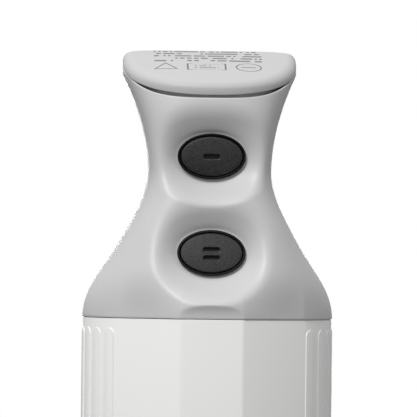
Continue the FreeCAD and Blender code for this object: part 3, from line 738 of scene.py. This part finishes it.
rib_width, rib_height, rib_start, rib_pitch = 3.9, 0.24, 53.2, 10.5
rib_top, rib_foot = housing_high - 2.7, housing_low + 38
deselect()
bpy.ops.mesh.primitive_cube_add(
    size=1, scale=(rib_width * MM, rib_height * 3 * MM, (rib_top - rib_foot) * MM))
rib = settle(bpy.context.object)
select_edges(rib, lambda first, second: abs(first.y - second.y) > 0.1)
bpy.ops.mesh.bevel(offset=rib_width * 0.49 * MM, segments=8, affect="EDGES")
bpy.ops.object.mode_set(mode="OBJECT")
select_edges(rib, lambda first, second: first.y < 0 and second.y < 0)
bpy.ops.mesh.bevel(offset=0.17 * MM, segments=3, affect="EDGES")
bpy.ops.object.mode_set(mode="OBJECT")
rib.location = Vector((0, -housing_flat + rib_height * 0.5, (rib_top + rib_foot) / 2)) * MM
settle(rib)
ribs = []
for side in (-1, 1):
    for step in range(8):
        copy = rib.copy()
        copy.data = rib.data.copy()
        bpy.context.scene.collection.objects.link(copy)
        copy.rotation_euler = Euler((0, 0, math.radians(side * (rib_start + step * rib_pitch))))
        ribs.append(settle(copy))
drop(rib)


def joined(piece, others):
    """Join closed shells to a piece as one mesh."""
    deselect()
    for item in [piece] + others:
        item.select_set(True)
    bpy.context.view_layer.objects.active = piece
    bpy.ops.object.join()
    return piece


rounded_off(joined(housing, ribs), 25)

housing_plastic = moulded("housing_plastic", (0.88, 0.88, 0.87), 0.36, grain=1800.0,
                          grain_depth=0.00001, drift=0.012)
housing_plastic.wear(housing)
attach(housing, "motor_unit")
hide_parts("motor_housing")

# Release buttons. A grey pad in each side of the housing unlocks the blending foot when both are
# pressed; three small bars across it stop the thumb from slipping.

for side in ("left", "right"):
    low, high = (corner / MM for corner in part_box(f"release_button_{side}"))
    deselect()
    bpy.ops.mesh.primitive_cube_add(size=1, location=(low + high) / 2 * MM,
                                    scale=(high - low) * MM)
    pad = settle(bpy.context.object)
    pad.name = f"release_pad_{side}"
    outer = max(abs(low.x), abs(high.x))
    select_edges(pad, lambda first, second: abs(first.x - second.x) > 1)
    bpy.ops.mesh.bevel(offset=2.6 * MM, segments=6, affect="EDGES")
    bpy.ops.object.mode_set(mode="OBJECT")
    select_edges(pad, lambda first, second: min(abs(first.x), abs(second.x)) > outer - 0.01)
    bpy.ops.mesh.bevel(offset=0.45 * MM, segments=3, affect="EDGES")
    bpy.ops.object.mode_set(mode="OBJECT")
    thumb_bars = []
    for step in (-1, 0, 1):
        deselect()
        bpy.ops.mesh.primitive_cube_add(
            size=1, scale=(0.8 * MM, 9 * MM, 0.9 * MM),
            location=(math.copysign(outer - 0.1, low.x) * MM, 0,
                      ((low.z + high.z) / 2 + step * 2.1) * MM))
        bar = settle(bpy.context.object)
        thumb_bars.append(modify(bar, "BEVEL", width=0.3 * MM, segments=3))
    rounded_off(joined(pad, thumb_bars), 35)
    handle_plastic.wear(pad)
    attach(pad, f"{side}_release")
    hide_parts(f"release_button_{side}")

# Cord gland. A grey rubber sleeve behind the grip, ribbed so that it bends with the cord; its
# bore is open and holds no cord.

gland_low, gland_high = (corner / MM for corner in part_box("cord_gland"))
gland_level = (gland_low.z + gland_high.z) / 2
gland_length = gland_high.y - gland_low.y
gland_outline = [(3.6, 0, 0), (7.4, 0, 0.3), (7.4, 2, 0.3), (6.0, 2, 0.1)]
for step in range(5):
    start = 4.6 + step * 2.9
    fat = 6.0 - 0.2 * step
    gland_outline += [(fat, start, 0.35), (fat - 0.9, start + 0.35, 0.2),
                      (fat - 0.9, start + 1.25, 0.2), (fat - 0.1, start + 1.6, 0.35)]
gland_outline += [(4.8, gland_length, 0.5), (3.6, gland_length, 0.2)]
gland = lathe("cord_sleeve", filleted(gland_outline, 4), 72, "Y", (0, gland_low.y, gland_level))
gland_rubber = moulded("gland_rubber", (0.36, 0.36, 0.365), 0.6, grain=1500.0,
                       grain_depth=0.00003)
gland_rubber.wear(gland)
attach(gland, "motor_unit")
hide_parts("cord_gland")

# Blending foot neck. A white moulding that flares from the shaft to the housing, with the ring
# spigot on top that the housing's base takes.

foot_top = housing_low
neck_low, neck_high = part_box("shaft_neck")[0].z / MM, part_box("shaft_neck")[1].z / MM
neck_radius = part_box("shaft_neck")[1].x / MM
tube_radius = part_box("shaft_tube")[1].x / MM
spigot_radius, groove_radius, spigot_bore = 21.0, 20.2, 18.4
flare_outline = [(tube_radius, neck_low, 0), (tube_radius + 2.4, neck_low, 0.8)]
for step in range(25):
    part = step / 24
    flare_outline.append((tube_radius + 3 + (neck_radius - tube_radius - 3)
                          * (1 - math.cos(part * math.pi / 2)) ** 1.15,
                          neck_low + 1.5 + (foot_top - neck_low - 7) * math.sin(part * math.pi / 2)
                          ** 0.9, 0))
flare_outline += [
    (neck_radius, foot_top - 4.2, 0), (neck_radius, foot_top - 0.1, 0.5),
    (spigot_radius, foot_top - 0.1, 0), (spigot_radius, foot_top + 3.4, 0.1),
    (groove_radius, foot_top + 3.6, 0.1), (groove_radius, foot_top + 5.4, 0.1),
    (spigot_radius, foot_top + 5.6, 0.1), (spigot_radius, neck_high, 0.5),
    (spigot_bore, neck_high, 0.4), (spigot_bore, foot_top - 2.4, 0), (tube_radius, foot_top - 2.4, 0)]
neck = lathe("foot_neck", filleted(flare_outline, 5), 128)
foot_plastic = moulded("foot_plastic", (0.86, 0.86, 0.85), 0.34, grain=1800.0,
                       grain_depth=0.00001, drift=0.012)
foot_plastic.wear(neck)
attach(neck, "blending_foot")
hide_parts("shaft_neck")

# Shaft tube. Drawn stainless tube, brushed round its girth, with a rolled edge at each end.

tube_low, tube_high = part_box("shaft_tube")[0].z / MM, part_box("shaft_tube")[1].z / MM
tube_bore = tube_radius - 2.4
tube = lathe("shaft_tube_brushed", filleted(
    [(tube_bore, tube_low, 0.4), (tube_radius - 0.02, tube_low, 0.4),
     (tube_radius - 0.02, tube_high, 0.4), (tube_bore, tube_high, 0.4)]), 128)


def brushed(name, colour, rough, stretch=(0.03, 0.03, 0.0006)):
    """Brushed steel: fine scratches drawn out along one way."""
    finish = Finish(name, Metallic=1.0)
    lines = finish.noise(1.0, 3.0, finish.place(scale=stretch), 0.65)
    cloud = finish.noise(18.0, 2.0)
    light = tuple(min(part * 1.08, 1) for part in colour) + (1,)
    dark = tuple(part * 0.9 for part in colour) + (1,)
    finish.feed(Base_Color=finish.blend(lines * 0.6 + cloud * 0.4, dark, light),
                Roughness=lines * 0.16 + cloud * 0.06 + (rough - 0.11))
    return finish.bumped(lines, 0.000008)


tube_steel = brushed("tube_steel", (0.62, 0.63, 0.64), 0.3)
tube_steel.wear(tube)
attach(tube, "blending_foot")
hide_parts("shaft_tube")

# Bell guard. A white bell over the blade, with four arched windows at the rim that let the food
# flow; a collar at the top grips the shaft.

bell_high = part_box("bell_guard")[1].z / MM
bell_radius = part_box("bell_guard")[1].x / MM
roof = tube_low
bell_outline = [(bell_radius - 0.05, 0.0, 0.9), (bell_radius - 0.05, 14.0, 0)]
dome_top, dome_foot = bell_high - 8, 14.0
for step in range(1, 20):
    bend = step / 19 * math.pi * 0.36
    bell_outline.append((14.4 + (bell_radius - 14.45) * (math.cos(bend) ** 1.1 - 0.4) / 0.6
                         if step < 19 else 15.2,
                         dome_foot + (dome_top - dome_foot) * math.sin(bend)
                         / math.sin(math.pi * 0.36), 0))
bell_outline += [(14.4, bell_high - 5, 0.6), (14.4, bell_high - 0.1, 0.7),
                 (tube_radius, bell_high - 0.1, 0.2), (tube_radius, roof, 0), (5.0, roof, 0),
                 (5.0, roof - 3, 0.3), (13.0, roof - 3, 1.5), (23.0, 27.0, 4.0),
                 (bell_radius - 2.2, 15.0, 2.0), (bell_radius - 2.2, 0.0, 0.9)]
bell = lathe("bell", filleted(bell_outline, 5), 160)
arch_half, arch_level, slot_height = 7.4, 5.5, 10
for facing in (0, 90):
    deselect()
    bpy.ops.mesh.primitive_cylinder_add(
        vertices=48, radius=arch_half * MM, depth=bell_radius * 2.2 * MM,
        location=(0, 0, arch_level * MM), rotation=(math.pi / 2, 0, math.radians(facing)))
    arch = settle(bpy.context.object)
    deselect()
    bpy.ops.mesh.primitive_cube_add(
        size=1, location=(0, 0, (arch_level - slot_height / 2) * MM),
        rotation=(0, 0, math.radians(facing)),
        scale=(arch_half * 2 * MM, bell_radius * 2.2 * MM, slot_height * MM))
    carve(arch, settle(bpy.context.object), "UNION")
    carve(bell, arch)
modify(bell, "WELD", merge_threshold=0.01 * MM)
modify(bell, "BEVEL", width=0.2 * MM, segments=2, limit_method="ANGLE",
       angle_limit=math.radians(60))
rounded_off(bell, 35)
foot_plastic.wear(bell)
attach(bell, "blending_foot")
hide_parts("bell_guard")

# Blade. Two wings stamped from one steel strip, one tip bent up and one down, ground to a
# cutting edge on the leading side.

blade_level, blade_thickness, blade_reach, blade_bore = 13.0, 1.2, 22.3, 3.02
blade_middle = blade_level + 0.5
tip_start, tip_tilt = 14, math.radians(18)


def tip_bend(reach):
    """How far a tip is bent up on one side, or down on the other, at a reach along the blade."""
    side = 1 if reach > 0 else -1
    return max(abs(reach) - tip_start, 0) * math.tan(tip_tilt) * side


deselect()
bpy.ops.mesh.primitive_grid_add(x_subdivisions=44, y_subdivisions=8, size=1)
blade = bpy.context.object
blade.name = "blade_ground"
for vertex in blade.data.vertices:
    along, across = vertex.co.x * 2, vertex.co.y * 2
    reach = along * blade_reach
    side = 1 if along > 0 else -1
    width = 4.4 - 0.9 * smooth((abs(reach) - 6) / 14)
    sweep = -side * 1.1 * smooth((abs(reach) - 5) / 16)
    vertex.co = Vector((reach, across * width + sweep, blade_middle + tip_bend(reach))) * MM
modify(blade, "SOLIDIFY", thickness=blade_thickness * 0.9 * MM, offset=0)
for vertex in blade.data.vertices:
    reach, side = vertex.co.x / MM, 1 if vertex.co.x > 0 else -1
    edge = smooth((side * vertex.co.y / MM + 0.2) / 3.2) * smooth((abs(reach) - 5.8) / 2)
    middle = blade_middle + tip_bend(reach)
    vertex.co.z += (middle * MM - vertex.co.z) * float(edge) * 0.85
deselect()
bpy.ops.mesh.primitive_cylinder_add(vertices=48, radius=blade_bore * MM, depth=6 * MM,
                                    location=(0, 0, blade_level * MM))
carve(blade, settle(bpy.context.object))
rounded_off(blade, 30)
blade_steel = brushed("blade_steel", (0.66, 0.67, 0.68), 0.26, (0.0008, 0.05, 0.05))
blade_steel.wear(blade)
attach(blade, "blade_drive")
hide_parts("blade")

# Button springs. Four coils of round spring wire: one behind each speed button, and one behind
# each release button. Each sits against its seat and shortens as its button is pressed.

spring_steel = brushed("spring_wire", (0.7, 0.71, 0.73), 0.2, (0.01, 0.01, 0.0005))
spring_wire, spring_turns = 0.6, 4


def coil_spring(name, node, press):
    """A closed helix in a spring's place, with its axis along a unit vector."""
    low, high = (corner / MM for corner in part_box(node))
    press, middle = Vector(press), (low + high) / 2
    length = abs((high - low).dot(press))
    radius = (high.z - low.z) / 2 - spring_wire / 2
    deselect()
    bpy.ops.mesh.primitive_circle_add(vertices=10, radius=spring_wire / 2 * MM,
                                      location=(radius * MM, 0, 0), rotation=(math.pi / 2, 0, 0))
    coil = settle(bpy.context.object)
    coil.name = name
    modify(coil, "SCREW", axis="Z", iterations=spring_turns, steps=28, render_steps=28,
           screw_offset=(length - spring_wire) / spring_turns * MM)
    bpy.ops.object.mode_set(mode="EDIT")
    bpy.ops.mesh.select_all(action="SELECT")
    bpy.ops.mesh.fill_holes(sides=0)
    bpy.ops.mesh.select_all(action="SELECT")
    bpy.ops.mesh.normals_make_consistent(inside=False)
    bpy.ops.object.mode_set(mode="OBJECT")
    coil.rotation_euler = press.to_track_quat("Z", "Y").to_euler()
    coil.location = (middle - press * (length - spring_wire) / 2) * MM
    rounded_off(settle(coil), 60)
    spring_steel.wear(coil)
    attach(coil, "motor_unit")
    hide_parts(node)
    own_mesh(coil)


coil_spring("return_coil_upper", "return_spring_1", (0, 1, 0))
coil_spring("return_coil_lower", "return_spring_2", (0, 1, 0))
coil_spring("release_coil_left", "release_spring_left", (1, 0, 0))
coil_spring("release_coil_right", "release_spring_right", (-1, 0, 0))

# Inner parts. Every other piece keeps its own shape and takes its own finish: turned steel,
# sintered bronze, copper windings, laminations, moulded nylon, rubber, zinc and sleeve.


def dull_metal(name, colour, rough, layer=0.0):
    """Cast, sintered or stacked metal, with layers across Z where it is stacked."""
    finish = Finish(name, Metallic=1.0)
    speck = finish.noise(700.0, 4.0, rough=0.7)
    tone = speck
    if layer:
        bands = finish.node("ShaderNodeTexWave", {"bands_direction": "Z"},
                            {"Vector": finish.place(), "Scale": layer, "Distortion": 0.2},
                            output="Fac")
        tone = speck * 0.4 + bands * 0.6
    finish.feed(Base_Color=finish.blend(tone, tuple(c * 0.78 for c in colour) + (1,),
                                        tuple(min(c * 1.15, 1) for c in colour) + (1,)),
                Roughness=tone * 0.15 + (rough - 0.07))
    return finish.bumped(tone, 0.00003)


inner_finishes = {
    "handle_grey": handle_plastic, "housing_white": housing_plastic,
    "shaft_white": foot_plastic, "ring_black": ring_finish, "button_dark": button_finish,
    "gland_rubber": gland_rubber, "blade_steel": blade_steel,
    "seal_rubber": moulded("seal_rubber_grey", (0.05, 0.05, 0.05), 0.6, 1200.0, 0.00003),
    "bronze_bush": dull_metal("sintered_bronze", (0.62, 0.44, 0.22), 0.45),
    "shaft_steel": brushed("turned_steel", (0.6, 0.61, 0.62), 0.28),
    "spring_steel": spring_steel,
    "screw_steel": dull_metal("zinc_screw", (0.66, 0.66, 0.68), 0.35),
    "frame_zinc": dull_metal("cast_zinc", (0.55, 0.56, 0.57), 0.5),
    "core_steel": dull_metal("core_laminations", (0.28, 0.28, 0.29), 0.5, 320.0),
    "copper_coil": dull_metal("enamelled_copper", (0.72, 0.34, 0.16), 0.32, 420.0),
    "carbon": dull_metal("pressed_carbon", (0.05, 0.05, 0.05), 0.7),
    "coupling_nylon": moulded("glass_nylon", (0.09, 0.09, 0.095), 0.5, 900.0, 0.00004),
    "inner_plastic": moulded("inner_plastic", (0.6, 0.6, 0.58), 0.45),
    "board_green": moulded("board_laminate", (0.05, 0.22, 0.09), 0.35, 600.0, 0.00001),
    "capacitor_sleeve": moulded("capacitor_sleeve", (0.7, 0.52, 0.09), 0.25, 500.0, 0.00001),
}
shown_slots = {entry["node"]: entry["material_slot"] for entry in frame["record"]["subparts"]}
for node_name, node in frame["nodes"].items():
    finish = inner_finishes[shown_slots[node_name]]
    for place in node.material_slots:
        place.material = finish.material

# Studio. A pale floor, a white surround, a large soft key light high on the left and in front, a
# fainter light behind the grip, and a camera far back on a long lens, almost level with the
# joint.

deselect()
bpy.ops.mesh.primitive_circle_add(vertices=128, radius=0.3, fill_type="NGON",
                                  location=(0, 0, 0))
floor = bpy.context.object
floor.name = "studio_floor"
floor_finish = Finish("studio_floor_paint")
floor_finish.feed(Base_Color=floor_finish.blend(floor_finish.noise(3.0), (0.80, 0.80, 0.80, 1),
                                                (0.83, 0.83, 0.83, 1)),
                  Roughness=floor_finish.noise(40.0) * 0.1 + 0.55)
floor_finish.wear(floor)

scene = bpy.context.scene
scene.view_settings.view_transform = "Standard"
world = bpy.data.worlds.new("studio")
scene.world = world
world.use_nodes = True
world_nodes, world_links = world.node_tree.nodes, world.node_tree.links
surround = world_nodes["Background"]
sky = world_nodes.new("ShaderNodeTexCoord")
height = world_nodes.new("ShaderNodeSeparateXYZ")
shade = world_nodes.new("ShaderNodeMapRange")
tones = world_nodes.new("ShaderNodeValToRGB")
shade.inputs["From Min"].default_value = -1
world_links.new(sky.outputs["Generated"], height.inputs[0])
world_links.new(height.outputs["Z"], shade.inputs["Value"])
world_links.new(shade.outputs[0], tones.inputs["Fac"])
world_links.new(tones.outputs["Color"], surround.inputs["Color"])
lean = world_nodes.new("ShaderNodeMapRange")
lean.inputs["From Min"].default_value = -1
lean.inputs["To Min"].default_value, lean.inputs["To Max"].default_value = 1.05, 0.85
world_links.new(height.outputs["X"], lean.inputs["Value"])
world_links.new(lean.outputs[0], surround.inputs["Strength"])
for position, tone in ((0.0, 0.05), (0.47, 0.08), (0.55, 0.68), (0.72, 0.66), (1.0, 0.12)):
    stop = (tones.color_ramp.elements[int(position)] if position in (0.0, 1.0)
            else tones.color_ramp.elements.new(position))
    stop.color = (tone, tone, tone, 1)
backdrop = world_nodes.new("ShaderNodeBackground")
backdrop.inputs["Color"].default_value = (1, 1, 1, 1)
backdrop.inputs["Strength"].default_value = 1.0
seen = world_nodes.new("ShaderNodeLightPath")
choice = world_nodes.new("ShaderNodeMixShader")
world_links.new(seen.outputs["Is Camera Ray"], choice.inputs[0])
world_links.new(surround.outputs[0], choice.inputs[1])
world_links.new(backdrop.outputs[0], choice.inputs[2])
world_links.new(choice.outputs[0], world_nodes["World Output"].inputs["Surface"])


def soft_light(name, azimuth, elevation, distance, width, power):
    """A square soft light aimed at the grip, by its bearing from the front."""
    lamp = bpy.data.lights.new(name, "AREA")
    lamp.shape, lamp.size, lamp.energy = "SQUARE", width, power
    holder = bpy.data.objects.new(name, lamp)
    scene.collection.objects.link(holder)
    bearing, rise = math.radians(azimuth), math.radians(elevation)
    away = Vector((math.sin(bearing) * math.cos(rise), -math.cos(bearing) * math.cos(rise),
                   math.sin(rise)))
    holder.location = Vector((0, 0, joint_level * MM)) + away * distance
    holder.rotation_euler = away.to_track_quat("Z", "Y").to_euler()


soft_light("key_light", azimuth=-31, elevation=46, distance=1.3, width=0.45, power=9.5)
soft_light("back_light", azimuth=178, elevation=1, distance=1.6, width=0.4, power=7.0)

view_distance, view_width = 2.0, 0.1108
camera_data = bpy.data.cameras.new("camera")
camera_data.sensor_width = 36
camera_data.lens = 36 * view_distance / view_width
camera_data.clip_start, camera_data.clip_end = 0.05, 20
camera = bpy.data.objects.new("camera", camera_data)
scene.collection.objects.link(camera)
scene.camera = camera
view_turn, view_roll = math.radians(-2.2), math.radians(0.7)
target = Vector((0, 0, (joint_level + 29.0) * MM))
camera.location = Vector((math.sin(view_turn) * view_distance,
                          -math.cos(view_turn) * view_distance, (joint_level + 25.5) * MM))
aim = (target - camera.location).to_track_quat("-Z", "Y").to_matrix()
camera.rotation_euler = (aim @ Matrix.Rotation(view_roll, 3, "Z")).to_euler()
